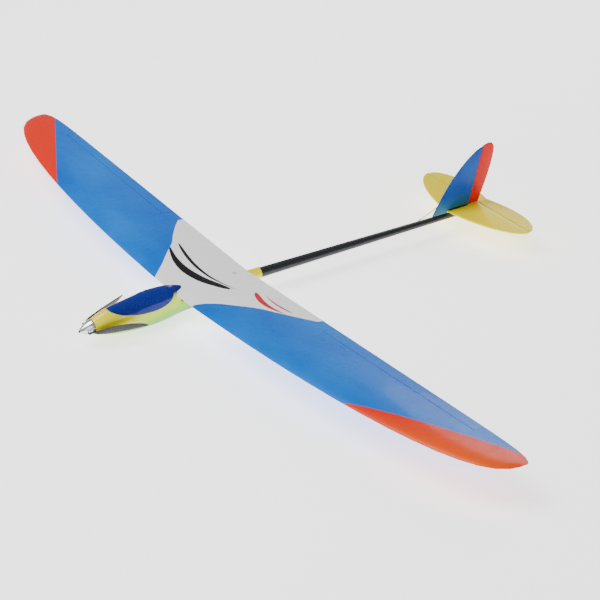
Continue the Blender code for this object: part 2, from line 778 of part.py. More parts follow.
def make_boom():
    tube = [
        (BOOM_FRONT_X, BOOM_FRONT_RADIUS),
        (BOOM_REAR_X, BOOM_REAR_RADIUS),
        (BOOM_REAR_X, BOOM_REAR_RADIUS - BOOM_WALL),
        (BOOM_FRONT_X, BOOM_FRONT_RADIUS - BOOM_WALL),
    ]
    boom = turned("tail_boom", tube, CARBON, pivot("boom_axis", (0, 0, BOOM_Z)), 28)
    slot = box("rudder_rod_slot", (-0.6330, -0.0100, 0.0370), (-0.5930, -0.0030, 0.0430), cutter=True)
    boolean(boom, slot)
    saddle = box(
        "stab_saddle",
        (-0.7350, -0.0060, 0.0385),
        (-0.6900, 0.0060, STAB_Z - 0.0023),
        BLACK_PLASTIC,
    )
    groove = cylinder(
        "saddle_groove",
        (-0.6800, 0, BOOM_Z),
        (-0.7500, 0, BOOM_Z),
        boom_radius(-0.6900) + GAP,
        cutter=True,
        sides=28,
    )
    boolean(saddle, groove)


def make_tail():
    half = 18
    ys = [STAB_HALF_SPAN * math.sin(0.5 * math.pi * k / half) for k in range(half + 1)]
    front_edge = ELEVATOR_HINGE_X + ELEVATOR_THICKNESS / 2 + 0.0005
    rear_edge = ELEVATOR_HINGE_X + ELEVATOR_THICKNESS / 2
    nose = [(stab_le(y), y) for y in ys[:-1]] + [(front_edge, STAB_HALF_SPAN * 0.999)]
    outline = [(x, -y) for x, y in reversed(nose)] + nose[1:]
    plate(
        "stabiliser",
        outline,
        STAB_Z - STAB_THICKNESS / 2,
        STAB_Z + STAB_THICKNESS / 2,
        "XY",
        YELLOW_FILM,
        rounding=0.0015,
    )
    trailing = [(stab_te(y), y) for y in ys if stab_te(y) < rear_edge - 0.0030]
    edge_y = STAB_HALF_SPAN * 0.990
    flap = trailing + [(rear_edge, edge_y)]
    outline = [(x, -y) for x, y in reversed(flap)] + flap[1:]
    hinge = pivot("elevator_hinge", (ELEVATOR_HINGE_X, 0, STAB_Z))
    elevator = plate(
        "elevator",
        outline,
        STAB_Z - ELEVATOR_THICKNESS / 2,
        STAB_Z + ELEVATOR_THICKNESS / 2,
        "XY",
        YELLOW_FILM,
        rounding=ELEVATOR_THICKNESS / 2 - 0.00005,
    )
    hang(elevator, hinge)
    under = STAB_Z - ELEVATOR_THICKNESS / 2 - GAP
    horn = plate(
        "elevator_horn",
        [
            (ELEVATOR_HINGE_X - 0.0100, under),
            (ELEVATOR_HINGE_X - 0.0100, under - 0.0012),
            (ELEVATOR_HINGE_X - 0.0035, under - 0.0016),
            (ELEVATOR_HINGE_X - 0.0012, ROD_Z - 0.0018),
            (ELEVATOR_HINGE_X + 0.0012, ROD_Z - 0.0018),
            (ELEVATOR_HINGE_X + 0.0010, under),
        ],
        ROD_Y - 0.0030,
        ROD_Y - 0.0016,
        "XZ",
        WHITE_NYLON,
    )
    hang(horn, hinge)
    make_fin_and_rudder()


def make_fin_and_rudder():
    stab_top = STAB_Z + STAB_THICKNESS / 2 + GAP
    gap = 0.0005
    nose = RUDDER_THICKNESS / 2
    boom_top = BOOM_Z + boom_radius(-0.6450) + GAP
    fin = fin_le_curve() + [
        (hinge_x(0.1640) + nose + gap, 0.1640),
        (hinge_x(stab_top) + nose + gap, stab_top),
        (-0.6785, stab_top),
        (-0.6785, boom_top),
        (-0.6440, boom_top),
    ]
    plate("fin", fin[1:], -FIN_THICKNESS / 2, FIN_THICKNESS / 2, "XZ", FIN_FILM, rounding=0.0010)
    foot = stab_top + 0.0004
    back = (
        [(hinge_x(0.1650) + nose, 0.1650)]
        + bezier((-0.7660, 0.1674), (-0.7800, 0.1720), (-0.7920, 0.1680), (-0.7880, 0.1480), 8)
        + bezier((-0.7880, 0.1480), (-0.7840, 0.1180), (-0.7640, 0.0740), (-0.7530, foot), 8)
        + [(-0.7530, foot), (hinge_x(foot) + nose, foot)]
    )
    hinge = pivot("rudder_hinge", HINGE_FOOT)
    rudder = plate(
        "rudder", back, -RUDDER_THICKNESS / 2, RUDDER_THICKNESS / 2, "XZ", RED_FILM, rounding=nose - 0.00005
    )
    hang(rudder, hinge)
    horn_z = foot + 0.0030
    x = hinge_x(horn_z)
    horn = plate(
        "rudder_horn",
        [
            (x - 0.0100, -RUDDER_THICKNESS / 2 - GAP),
            (x - 0.0010, -RUDDER_THICKNESS / 2 - GAP),
            (x + 0.0012, -0.0112),
            (x - 0.0012, -0.0112),
        ],
        horn_z,
        horn_z + 0.0012,
        "XY",
        WHITE_NYLON,
    )
    hang(horn, hinge)


def make_tail_pushrods():
    shaft_x = -0.0620
    elevator_rod = wire(
        "elevator_pushrod",
        [(shaft_x + 0.0015, ROD_Y, ROD_Z), (ELEVATOR_HINGE_X - 0.0015, ROD_Y, ROD_Z)],
        ROD_RADIUS,
        STEEL,
    )
    hang(elevator_rod, pivot("elevator_rod_slide", (shaft_x, ROD_Y, ROD_Z)))
    shaft_x = -0.1000
    end_z = STAB_Z + STAB_THICKNESS / 2 + 0.0075
    route = [
        (shaft_x + 0.0015, -ROD_Y, ROD_Z),
        (-0.5900, -ROD_Y, ROD_Z),
        (-0.6020, -0.0044, ROD_Z + 0.0009),
        (-0.6150, -0.0065, ROD_Z + 0.0032),
        (-0.6300, -0.0085, ROD_Z + 0.0072),
        (-0.6450, -0.0097, ROD_Z + 0.0120),
        (-0.6600, -0.0102, end_z - 0.0012),
        (-0.6720, -0.0103, end_z),
        (HINGE_FOOT.x - 0.0035, -0.0103, end_z),
    ]
    rudder_rod = wire("rudder_pushrod", route, ROD_RADIUS, STEEL)
    hang(rudder_rod, pivot("rudder_rod_slide", (shaft_x, -ROD_Y, ROD_Z)))


# ---------------------------------------------------------------- motor, spinner and folding blades

def spinner_radius(x):
    return SPINNER_RADIUS * (1 - (x / 0.0275) ** 1.35) ** 0.82


def make_power_unit():
    thrust = pivot("thrust_line", THRUST_ORIGIN, (0, DOWNTHRUST, 0))
    prop = pivot("prop_axis", (0, 0, 0), (BLADE_AZIMUTH, 0, 0), thrust)
    wall = 0.0010
    xs = [SPINNER_LENGTH * k / 8 for k in range(9)]
    outer = [(x, spinner_radius(x)) for x in xs]
    inner = [(x, spinner_radius(x) - wall) for x in reversed(xs)]
    inner[0] = (SPINNER_LENGTH, 0.0014)
    inner.insert(1, (SPINNER_LENGTH - 0.0012, 0.0014))
    cone = turned("spinner_cone", outer + inner, ALUMINIUM, prop, 24)
    plate_disc = turned(
        "spinner_backplate",
        [(-0.0003, SPINNER_RADIUS), (-0.0016, SPINNER_RADIUS), (-0.0016, 0.0030), (-0.0003, 0.0030)],
        ALUMINIUM,
        prop,
        24,
    )
    for side, word in ((1, "left"), (-1, "right")):
        mouth = box(
            "blade_mouth_" + word,
            (-0.01, min(side * 0.0066, side * 0.03), -0.0049),
            (0.0130, max(side * 0.0066, side * 0.03), 0.0049),
            parent=prop,
            cutter=True,
        )
        boolean(cone, mouth)
        boolean(plate_disc, mouth)
    make_yoke(prop)
    turned(
        "prop_adapter",
        [
            (0.0032, 0.0056),
            (0.0003, 0.0056),
            (0.0003, 0.0019),
            (0.0160, 0.0019),
            (0.0160, 0.0030),
            (0.0032, 0.0030),
        ],
        ALUMINIUM,
        prop,
        20,
    )
    turned(
        "spinner_screw",
        [
            (0.0260, 0.0003),
            (0.0260, 0.0013),
            (0.0250, 0.0021),
            (0.0245, 0.0021),
            (0.0245, 0.0011),
            (0.0150, 0.0011),
            (0.0150, 0.0003),
        ],
        BLACK_PLASTIC,
        prop,
        16,
    )
    for n, side in ((1, 1), (2, -1)):
        hinge = pivot("blade_side_%d" % n, (0, 0, 0), (0 if side > 0 else math.pi, 0, 0), prop)
        make_blade("left" if side > 0 else "right", hinge)
    make_motor(thrust)


def make_yoke(prop):
    yoke = box("blade_yoke", (0.0035, -0.0146, -0.0045), (0.0125, 0.0146, 0.0045), ALUMINIUM, prop)
    boolean(yoke, cylinder("yoke_bore", (0, 0, 0), (0.02, 0, 0), 0.0033, parent=prop, cutter=True))
    for side, word in ((1, "left"), (-1, "right")):
        slot = box(
            "yoke_slot_" + word,
            (0.0, min(side * 0.0070, side * 0.02), -0.0028),
            (0.02, max(side * 0.0070, side * 0.02), 0.0028),
            parent=prop,
            cutter=True,
        )
        boolean(yoke, slot)
        bore = cylinder(
            "yoke_pin_hole_" + word,
            (PIN_X, side * PIN_Y, -0.01),
            (PIN_X, side * PIN_Y, 0.01),
            0.0013,
            parent=prop,
            cutter=True,
        )
        boolean(yoke, bore)
        cylinder(
            "blade_pin_" + word,
            (PIN_X, side * PIN_Y, -0.0047),
            (PIN_X, side * PIN_Y, 0.0047),
            0.0010,
            STEEL,
            prop,
        )


def make_blade(word, side_frame):
    """Blade in its own frame, root pin at the origin and span along +Y, folded back along the pod."""
    fold = pivot(
        "blade_fold_" + word, (PIN_X, PIN_Y, 0), (0, 0, math.radians(90) - BLADE_SPLAY), side_frame
    )
    rings = []
    for y, chord, pitch, thick, shift in (
        (0.0015, 0.0038, 0, 0.0040, 0.0),
        (0.0045, 0.0044, 0, 0.0038, 0.0),
        (0.0100, 0.0066, 3, 0.0034, 0.0),
        (0.0170, 0.0120, 8, 0.0030, 0.0002),
        (0.0280, 0.0168, 12, 0.0024, 0.0004),
        (0.0420, 0.0190, 12, 0.0021, 0.0004),
        (0.0580, 0.0184, 11, 0.0018, 0.0002),
        (0.0740, 0.0160, 10, 0.0016, -0.0004),
        (0.0880, 0.0122, 9, 0.0014, -0.0014),
        (0.0970, 0.0082, 8, 0.0012, -0.0026),
        (0.1020, 0.0044, 8, 0.0010, -0.0038),
        (BLADE_LENGTH, 0.0016, 8, 0.0008, -0.0044),
    ):
        tilt = Matrix.Rotation(math.radians(pitch), 3, "Y")
        t = max(0.0, min(1.0, (y - 0.0025) / 0.0075))
        outward = BLADE_OFFSET * t * t * (3 - 2 * t)
        ring = []
        for k in range(12):
            a = 2 * math.pi * k / 12
            flat = Vector((thick / 2 * math.sin(a), 0, chord / 2 * math.cos(a)))
            place = tilt @ flat
            ring.append(Vector((place.x + outward, y, place.z + shift)))
        rings.append(ring)
    blade = loft("blade_" + word, rings, CARBON, fold)
    knuckle = cylinder("knuckle_" + word, (0, 0, -0.0024), (0, 0, 0.0024), 0.0034, parent=fold, cutter=True)
    bore = cylinder("knuckle_bore_" + word, (0, 0, -0.01), (0, 0, 0.01), 0.0013, parent=fold, cutter=True)
    boolean(blade, knuckle, "UNION")
    boolean(blade, bore)


def make_motor(thrust):
    """Outrunner: the base is screwed behind the firewall, and the bell turns the shaft."""
    prop = bpy.data.objects["prop_axis"]
    firewall = turned(
        "firewall",
        [(-0.0060, 0.0045), (-0.0060, 0.0136), (-0.0080, 0.0136), (-0.0080, 0.0045)],
        PLYWOOD,
        thrust,
        28,
    )
    base = turned(
        "motor_base",
        [
            (-0.0083, 0.0022),
            (-0.0083, 0.0105),
            (-0.0103, 0.0105),
            (-0.0103, 0.0042),
            (-0.0300, 0.0042),
            (-0.0300, 0.0022),
        ],
        ALUMINIUM,
        thrust,
        20,
    )
    for n, y in ((1, 0.0080), (2, -0.0080)):
        hole = cylinder("screw_hole_%d" % n, (-0.02, y, 0), (0, y, 0), 0.0016, parent=thrust, cutter=True)
        boolean(firewall, hole)
        boolean(base, hole)
        turned(
            "motor_screw_%d" % n,
            [
                (-0.0037, 0.0003),
                (-0.0037, 0.0026),
                (-0.0057, 0.0026),
                (-0.0057, 0.0013),
                (-0.0108, 0.0013),
                (-0.0108, 0.0003),
            ],
            STEEL,
            pivot("screw_axis_%d" % n, (0, y, 0), (0, 0, 0), thrust),
            12,
        )
    turned(
        "motor_stator",
        [(-0.0140, 0.0045), (-0.0140, 0.0115), (-0.0280, 0.0115), (-0.0280, 0.0045)],
        COPPER,
        thrust,
        24,
    )
    turned(
        "motor_bell",
        [
            (-0.0125, 0.0122),
            (-0.0125, 0.0136),
            (-0.0335, 0.0136),
            (-0.0345, 0.0126),
            (-0.0345, 0.0019),
            (-0.0325, 0.0019),
            (-0.0325, 0.0122),
        ],
        STEEL,
        prop,
        28,
    )
    cylinder("motor_shaft", (-0.0350, 0, 0), (0.0145, 0, 0), 0.0016, STEEL, prop)


make_wing()
make_pod()
make_pod_fittings()
make_boom()
make_tail()
make_tail_pushrods()
make_power_unit()
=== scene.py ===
"""Finish, fittings, camera and light for the RC sailplane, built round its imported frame."""

import json
import math

import bmesh
import bpy
from mathutils import Matrix, Vector
from mathutils.bvhtree import BVHTree


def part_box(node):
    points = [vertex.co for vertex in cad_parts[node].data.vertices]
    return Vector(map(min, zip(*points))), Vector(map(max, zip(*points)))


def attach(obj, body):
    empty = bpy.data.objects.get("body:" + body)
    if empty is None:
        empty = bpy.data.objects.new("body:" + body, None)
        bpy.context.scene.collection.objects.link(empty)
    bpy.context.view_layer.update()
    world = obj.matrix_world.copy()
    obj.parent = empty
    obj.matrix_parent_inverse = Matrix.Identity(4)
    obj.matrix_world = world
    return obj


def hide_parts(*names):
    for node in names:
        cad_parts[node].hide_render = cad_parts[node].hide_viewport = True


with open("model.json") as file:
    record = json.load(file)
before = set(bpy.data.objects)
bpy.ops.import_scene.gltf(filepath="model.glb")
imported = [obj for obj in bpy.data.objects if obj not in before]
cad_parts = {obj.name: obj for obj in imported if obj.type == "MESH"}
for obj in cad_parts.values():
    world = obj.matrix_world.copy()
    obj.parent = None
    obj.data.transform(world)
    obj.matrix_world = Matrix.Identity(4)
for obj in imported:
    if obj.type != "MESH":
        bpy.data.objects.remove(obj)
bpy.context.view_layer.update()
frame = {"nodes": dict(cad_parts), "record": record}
NODES = frame["nodes"]

# Studio
FLOOR_GLOW = 1.7
SKY_STRENGTH = 0.32
KEY_POWER = 120
FILL_POWER = 16
RIM_POWER = 26

# Tape over each aileron's hinge line, from its inner end to its outer end (x, y)
HINGE_INNER_END = (-0.1987, 0.2820)
HINGE_OUTER_END = (-0.2108, 0.7000)
HINGE_TAPE_AHEAD = 0.0046
HINGE_TAPE_WIDTH = 0.0070


# ---------------------------------------------------------------- camera, floor and light

def make_camera():
    data = bpy.data.cameras.new("camera")
    data.lens = 126.0
    data.sensor_width = 36.0
    data.clip_start = 0.1
    data.clip_end = 60.0
    camera = bpy.data.objects.new("camera", data)
    bpy.context.scene.collection.objects.link(camera)
    right = Vector((-0.837548, 0.546341, -0.004994))
    up = Vector((-0.263151, -0.395370, 0.880019))
    back = Vector((0.478816, 0.738373, 0.474912))
    place = Matrix((right, up, back)).transposed().to_4x4()
    place.translation = Vector((1.572238, 2.941748, 1.844111))
    camera.matrix_world = place
    bpy.context.scene.camera = camera


def area_light(name, place, aim, size, power, colour=(1.0, 1.0, 1.0)):
    data = bpy.data.lights.new(name, "AREA")
    data.shape = "DISK"
    data.size = size
    data.energy = power
    data.color = colour
    light = bpy.data.objects.new(name, data)
    light.location = place
    light.rotation_mode = "QUATERNION"
    light.rotation_quaternion = (Vector(aim) - Vector(place)).to_track_quat("-Z", "Y")
    bpy.context.scene.collection.objects.link(light)


def make_studio():
    bm = bmesh.new()
    bmesh.ops.create_grid(bm, x_segments=1, y_segments=1, size=12.0)
    mesh = bpy.data.meshes.new("floor")
    bm.to_mesh(mesh)
    bm.free()
    floor = bpy.data.objects.new("floor", mesh)
    floor.location = (0, 0, -0.002)
    bpy.context.scene.collection.objects.link(floor)
    mat = bpy.data.materials.new("floor")
    mat.use_nodes = True
    shader = mat.node_tree.nodes["Principled BSDF"]
    shader.inputs["Base Color"].default_value = (0.93, 0.93, 0.93, 1)
    shader.inputs["Roughness"].default_value = 0.9
    shader.inputs["Specular IOR Level"].default_value = 0.1
    shader.inputs["Emission Color"].default_value = (1, 1, 1, 1)
    shader.inputs["Emission Strength"].default_value = FLOOR_GLOW
    mesh.materials.append(mat)
    world = bpy.data.worlds.new("studio")
    world.use_nodes = True
    world.node_tree.nodes["Background"].inputs["Color"].default_value = (1, 1, 1, 1)
    world.node_tree.nodes["Background"].inputs["Strength"].default_value = SKY_STRENGTH
    bpy.context.scene.world = world
    area_light("key", (1.2, -0.8, 3.2), (-0.2, 0, 0), 2.6, KEY_POWER)
    area_light("fill", (1.6, 2.6, 1.6), (-0.2, 0, 0), 2.0, FILL_POWER)
    area_light("rim", (-2.6, -1.4, 1.6), (-0.2, 0, 0), 1.6, RIM_POWER)


# ---------------------------------------------------------------- material building

class Surface:
    """A Principled material with small helpers for node graphs in the piece's own coordinates."""

    def __init__(self, name, rough=0.4, metallic=0.0, coat=0.0):
        self.mat = bpy.data.materials.new(name)
        self.mat.use_nodes = True
        self.tree = self.mat.node_tree
        self.shader = self.tree.nodes["Principled BSDF"]
        self.shader.inputs["Roughness"].default_value = rough
        self.shader.inputs["Metallic"].default_value = metallic
        self.shader.inputs["Coat Weight"].default_value = coat
        self.shader.inputs["Coat Roughness"].default_value = 0.05
        self.shader.inputs["Specular IOR Level"].default_value = 0.12
        coords = self.tree.nodes.new("ShaderNodeTexCoord")
        self.place = coords.outputs["Object"]
        split = self.tree.nodes.new("ShaderNodeSeparateXYZ")
        self.tree.links.new(self.place, split.inputs[0])
        self.x, self.y, self.z = split.outputs

    def feed(self, socket, value):
        if isinstance(value, (int, float)):
            socket.default_value = value
        elif isinstance(value, (tuple, list)):
            socket.default_value = (*value[:3], 1.0) if len(socket.default_value) == 4 else value
        else:
            self.tree.links.new(value, socket)

    def math(self, operation, *values, clamp=False):
        node = self.tree.nodes.new("ShaderNodeMath")
        node.operation = operation
        node.use_clamp = clamp
        for socket, value in zip(node.inputs, values):
            self.feed(socket, value)
        return node.outputs[0]

    def ramp(self, value, low, high):
        """0 below low, 1 above high, straight between."""
        node = self.tree.nodes.new("ShaderNodeMapRange")
        self.feed(node.inputs["Value"], value)
        node.inputs["From Min"].default_value = low
        node.inputs["From Max"].default_value = high
        return node.outputs["Result"]

    def curve(self, value, points):
        node = self.tree.nodes.new("ShaderNodeFloatCurve")
        line = node.mapping.curves[0]
        for point, (u, v) in zip((line.points[0], line.points[-1]), (points[0], points[-1])):
            point.location = (u, v)
        for u, v in points[1:-1]:
            line.points.new(u, v)
        node.mapping.update()
        self.feed(node.inputs["Value"], value)
        return node.outputs[0]

    def mix(self, factor, a, b):
        node = self.tree.nodes.new("ShaderNodeMix")
        node.data_type = "RGBA"
        self.feed(node.inputs[0], factor)
        self.feed(node.inputs[6], a)
        self.feed(node.inputs[7], b)
        return node.outputs[2]

    def noise(self, scale, detail=3.0, stretch=(1, 1, 1)):
        scaled = self.tree.nodes.new("ShaderNodeMapping")
        scaled.inputs["Scale"].default_value = stretch
        self.tree.links.new(self.place, scaled.inputs["Vector"])
        node = self.tree.nodes.new("ShaderNodeTexNoise")
        node.inputs["Scale"].default_value = scale
        node.inputs["Detail"].default_value = detail
        self.tree.links.new(scaled.outputs[0], node.inputs["Vector"])
        return node.outputs["Fac"]

    def colour(self, value):
        self.feed(self.shader.inputs["Base Color"], value)
        return self

    def roughness(self, value):
        self.feed(self.shader.inputs["Roughness"], value)

    def bump(self, height, strength, distance):
        node = self.tree.nodes.new("ShaderNodeBump")
        node.inputs["Strength"].default_value = strength
        node.inputs["Distance"].default_value = distance
        self.feed(node.inputs["Height"], height)
        self.tree.links.new(node.outputs[0], self.shader.inputs["Normal"])


def srgb(r, g, b):
    def linear(c):
        c /= 255
        return c / 12.92 if c <= 0.04045 else ((c + 0.055) / 1.055) ** 2.4

    return (linear(r), linear(g), linear(b))


def film_finish(s, scale=1.0):
    """Shrink film: almost flat, with faint slack waves and a little variation in gloss."""
    waves = s.noise(9.0 * scale, 2.0, (1.0, 0.5, 1.0))
    s.bump(waves, 0.25, 0.002)
    s.roughness(s.ramp(s.noise(40.0, 3.0), -0.6, 3.2))


def swoosh(s, x, bow, y_wide, y_point, width):
    """Mask of one bowed sweep along the span, rounded at its wide end and tapering to a point."""
    along = s.ramp(s.y, y_wide, y_point)
    arc = s.math("SINE", s.math("MULTIPLY", along, math.pi))
    line = s.math("MULTIPLY_ADD", arc, bow, x)
    taper = s.math("MULTIPLY", s.math("POWER", along, 0.4), s.math("SUBTRACT", 1.0, along))
    off = s.math("ABSOLUTE", s.math("SUBTRACT", s.x, line))
    return s.ramp(s.math("SUBTRACT", s.math("MULTIPLY", taper, width), off), 0.0, 0.0006)


def wing_film():
    s = Surface("wing_film", 0.3, coat=0.08)
    span = s.math("ABSOLUTE", s.y)
    back = s.ramp(s.x, -0.057, -0.214)
    edge = s.curve(
        back,
        [
            (0.0, 0.255),
            (0.19, 0.352),
            (0.41, 0.502),
            (0.59, 0.625),
            (0.71, 0.738),
            (0.85, 0.86),
            (1.0, 0.976),
        ],
    )
    gap = s.math("SUBTRACT", s.math("MULTIPLY", edge, 0.25), span)
    white = s.ramp(gap, -0.0004, 0.0004)
    tip_line = s.math("MULTIPLY_ADD", s.x, -2.007, 0.3295)
    past = s.math("SUBTRACT", span, tip_line)
    tip = s.ramp(past, -0.0004, 0.0004)
    clouds = s.noise(7.0, 4.0, (1.0, 0.45, 1.0))
    blue = s.mix(s.ramp(clouds, 0.3, 0.7), srgb(0, 92, 200), srgb(12, 130, 224))
    # Painted highlight: on the +y wing only, the orange tip is mixed lighter towards its leading edge
    # and tip, standing in for light caught there.
    painted_highlight = s.math("MULTIPLY", s.ramp(past, 0.0, 0.16), s.ramp(s.y, -0.1, 0.1))
    orange = s.mix(painted_highlight, srgb(238, 36, 6), srgb(250, 100, 10))
    colour = s.mix(white, blue, srgb(253, 253, 254))
    ink = s.math(
        "MAXIMUM",
        swoosh(s, -0.146, 0.030, 0.060, -0.165, 0.022),
        swoosh(s, -0.160, 0.020, -0.150, 0.085, 0.009),
    )
    red = s.math(
        "MAXIMUM",
        swoosh(s, -0.180, 0.012, 0.092, 0.200, 0.014),
        swoosh(s, -0.192, 0.006, 0.196, 0.100, 0.006),
    )
    upper = s.tree.nodes.new("ShaderNodeSeparateXYZ")
    normal = s.tree.nodes.new("ShaderNodeTexCoord").outputs["Normal"]
    s.tree.links.new(normal, upper.inputs[0])
    top = s.ramp(upper.outputs[2], -0.05, 0.05)
    colour = s.mix(s.math("MULTIPLY", ink, s.math("MULTIPLY", top, white)), colour, srgb(22, 20, 24))
    colour = s.mix(s.math("MULTIPLY", red, s.math("MULTIPLY", top, white)), colour, srgb(206, 30, 44))
    s.colour(s.mix(tip, colour, orange))
    film_finish(s)
    return s.mat


def plain_film(name, light, dark, scale=8.0):
    s = Surface(name, 0.3, coat=0.08)
    s.colour(s.mix(s.ramp(s.noise(scale, 3.0), 0.3, 0.7), light, dark))
    film_finish(s, 2.0)
    return s.mat


def fin_film():
    s = Surface("fin_film", 0.3, coat=0.1)
    low = s.ramp(s.z, 0.078, 0.050)
    blue = s.mix(s.ramp(s.noise(10.0), 0.3, 0.7), srgb(0, 58, 150), srgb(6, 84, 176))
    s.colour(s.mix(low, blue, srgb(42, 108, 132)))
    film_finish(s, 2.0)
    return s.mat


def pod_gel():
    s = Surface("pod_gel_coat", 0.18, coat=0.8)
    back = s.ramp(s.x, 0.060, -0.120)
    low = s.ramp(s.z, 0.040, 0.006)
    fade = s.math("ADD", s.math("MULTIPLY", back, 0.55), s.math("MULTIPLY", low, 0.50), clamp=True)
    lime = s.mix(s.ramp(fade, 0.15, 0.55), srgb(246, 232, 0), srgb(140, 208, 8))
    green = s.mix(s.ramp(fade, 0.50, 1.0), lime, srgb(12, 98, 16))
    collar = s.ramp(s.x, -0.205, -0.222)
    s.colour(s.mix(collar, green, srgb(240, 228, 0)))
    s.bump(s.noise(120.0, 2.0), 0.05, 0.0004)
    s.roughness(s.ramp(s.noise(30.0), -0.6, 3.4))
    return s.mat


def canopy_paint():
    s = Surface("canopy_paint", 0.16, metallic=0.2, coat=0.5)
    flakes = s.noise(900.0, 1.0)
    # Painted highlight and shade: the blue is lighter towards the top of the canopy and darker down
    # its sides, standing in for how light falls on it.
    base = s.mix(s.ramp(s.z, 0.040, 0.066), srgb(4, 18, 96), srgb(14, 40, 146))
    s.colour(s.mix(s.ramp(flakes, 0.60, 0.75), base, srgb(60, 90, 184)))
    s.roughness(s.ramp(s.noise(50.0), -0.5, 4.0))
    return s.mat


def carbon_weave():
    s = Surface("carbon_weave", 0.3, coat=0.5)
    waves = []
    for turn in (45, -45):
        tilt = s.tree.nodes.new("ShaderNodeMapping")
        tilt.inputs["Rotation"].default_value = (0.5, 0.0, math.radians(turn))
        s.tree.links.new(s.place, tilt.inputs["Vector"])
        wave = s.tree.nodes.new("ShaderNodeTexWave")
        wave.inputs["Scale"].default_value = 160.0
        wave.inputs["Distortion"].default_value = 0.3
        s.tree.links.new(tilt.outputs[0], wave.inputs["Vector"])
        waves.append(wave.outputs["Fac"])
    weave = s.math("MULTIPLY", waves[0], waves[1])
    s.colour(s.mix(weave, srgb(18, 20, 21), srgb(58, 64, 66)))
    s.bump(weave, 0.15, 0.0002)
    s.roughness(s.ramp(weave, -0.8, 2.6))
    return s.mat


def brushed(name, colour, rough, axis_stretch=(600, 20, 20)):
    s = Surface(name, rough, metallic=1.0)
    grain = s.noise(1.0, 3.0, axis_stretch)
    s.colour(s.mix(s.ramp(grain, 0.3, 0.7), colour, tuple(0.82 * c for c in colour)))
    s.bump(grain, 0.10, 0.0001)
    s.roughness(s.ramp(grain, -0.5, 1.0 / rough * 0.9))
    return s.mat


def moulded(name, colour, rough=0.45):
    s = Surface(name, rough)
    grain = s.noise(500.0, 3.0)
    s.colour(s.mix(s.ramp(s.noise(60.0), 0.3, 0.7), colour, tuple(0.85 * c for c in colour)))
    s.bump(grain, 0.2, 0.0001)
    return s.mat


def plywood():
    s = Surface("plywood", 0.6)
    grain = s.noise(30.0, 4.0, (0.3, 8.0, 8.0))
    s.colour(s.mix(s.ramp(grain, 0.3, 0.7), srgb(206, 176, 126), srgb(150, 112, 68)))
    s.bump(grain, 0.3, 0.0002)
    return s.mat


def banded(name, base, stripe, pitch, axis="x"):
    """Base colour with soft bands across it, for windings and woven strap."""
    s = Surface(name, 0.5)
    value = s.x if axis == "x" else s.y
    wave = s.math("SINE", s.math("MULTIPLY", value, 2 * math.pi / pitch))
    s.colour(s.mix(s.ramp(wave, -0.4, 0.4), base, stripe))
    s.bump(wave, 0.4, 0.0002)
    return s.mat


MATERIALS = {
    "blue_film": wing_film(),
    "yellow_film": plain_film("tail_film", srgb(250, 230, 0), srgb(240, 214, 0)),
    "fin_film": fin_film(),
    "red_film": plain_film("rudder_film", srgb(228, 26, 8), srgb(208, 20, 8)),
    "pod_shell": pod_gel(),
    "canopy_shell": canopy_paint(),
    "carbon": carbon_weave(),
    "aluminium": brushed("aluminium", (0.86, 0.87, 0.88), 0.22),
    "steel": brushed("steel", (0.58, 0.58, 0.60), 0.30),
    "black_plastic": moulded("black_plastic", (0.018, 0.018, 0.020)),
    "white_nylon": moulded("white_nylon", (0.72, 0.72, 0.70), 0.4),
    "servo_case": moulded("servo_case", (0.02, 0.05, 0.16), 0.35),
    "plywood": plywood(),
    "battery_wrap": banded("battery_wrap", srgb(24, 60, 120), srgb(30, 72, 140), 0.018),
    "windings": banded("windings", srgb(176, 92, 36), srgb(96, 44, 18), 0.0012),
    "strap": banded("strap", (0.02, 0.02, 0.02), (0.05, 0.05, 0.05), 0.0012, "y"),
}


def dress_nodes():
    for part in frame["record"]["subparts"]:
        node = NODES[part["node"]]
        node.data.materials.clear()
        node.data.materials.append(MATERIALS[part["material_slot"]])
        node.data.shade_smooth()
        weld = node.modifiers.new("weld", "WELD")
        weld.merge_threshold = 0.00001
        smooth = node.modifiers.new("edges", "EDGE_SPLIT")
        smooth.split_angle = math.radians(32)


# ---------------------------------------------------------------- small fittings

def piece(name, bm, mat, body, smooth=True):
    bmesh.ops.recalc_face_normals(bm, faces=bm.faces)
    mesh = bpy.data.meshes.new(name)
    bm.to_mesh(mesh)
    bm.free()
    obj = bpy.data.objects.new(name, mesh)
    bpy.context.scene.collection.objects.link(obj)
    mesh.materials.append(mat)
    if smooth:
        mesh.shade_smooth()
        mesh.set_sharp_from_angle(angle=math.radians(35))
    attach(obj, body)
    return obj


def tree_of(node):
    mesh = NODES[node].data
    points = [v.co.copy() for v in mesh.vertices]
    return BVHTree.FromPolygons(points, [tuple(p.vertices) for p in mesh.polygons])


def skin_height(tree, x, y, above=True):
    start = Vector((x, y, 0.3 if above else -0.3))
    hit = tree.ray_cast(start, Vector((0, 0, -1 if above else 1)))[0]
    return hit.z if hit else None


def tape(name, tree, route, width_axis, width, mat, body, above=True, lift=0.00006):
    """Thin strip of tape laid on a skin along a route of (x, y) points, with softened edges."""
    bm = bmesh.new()
    rows = []
    side = 1 if above else -1
    for x, y in route:
        row = []
        for k in (-1.0, -0.85, 0.0, 0.85, 1.0):
            px = x + width_axis[0] * width / 2 * k
            py = y + width_axis[1] * width / 2 * k
            z = skin_height(tree, px, py, above)
            if z is None:
                z = skin_height(tree, x, y, above)
            rise = lift * (0.2 if abs(k) == 1 else 1.0)
            row.append(bm.verts.new((px, py, (z or 0.05) + side * rise)))
        rows.append(row)
    for a, b in zip(rows, rows[1:]):
        for k in range(4):
            bm.faces.new((a[k], a[k + 1], b[k + 1], b[k]))
    return piece(name, bm, mat, body)


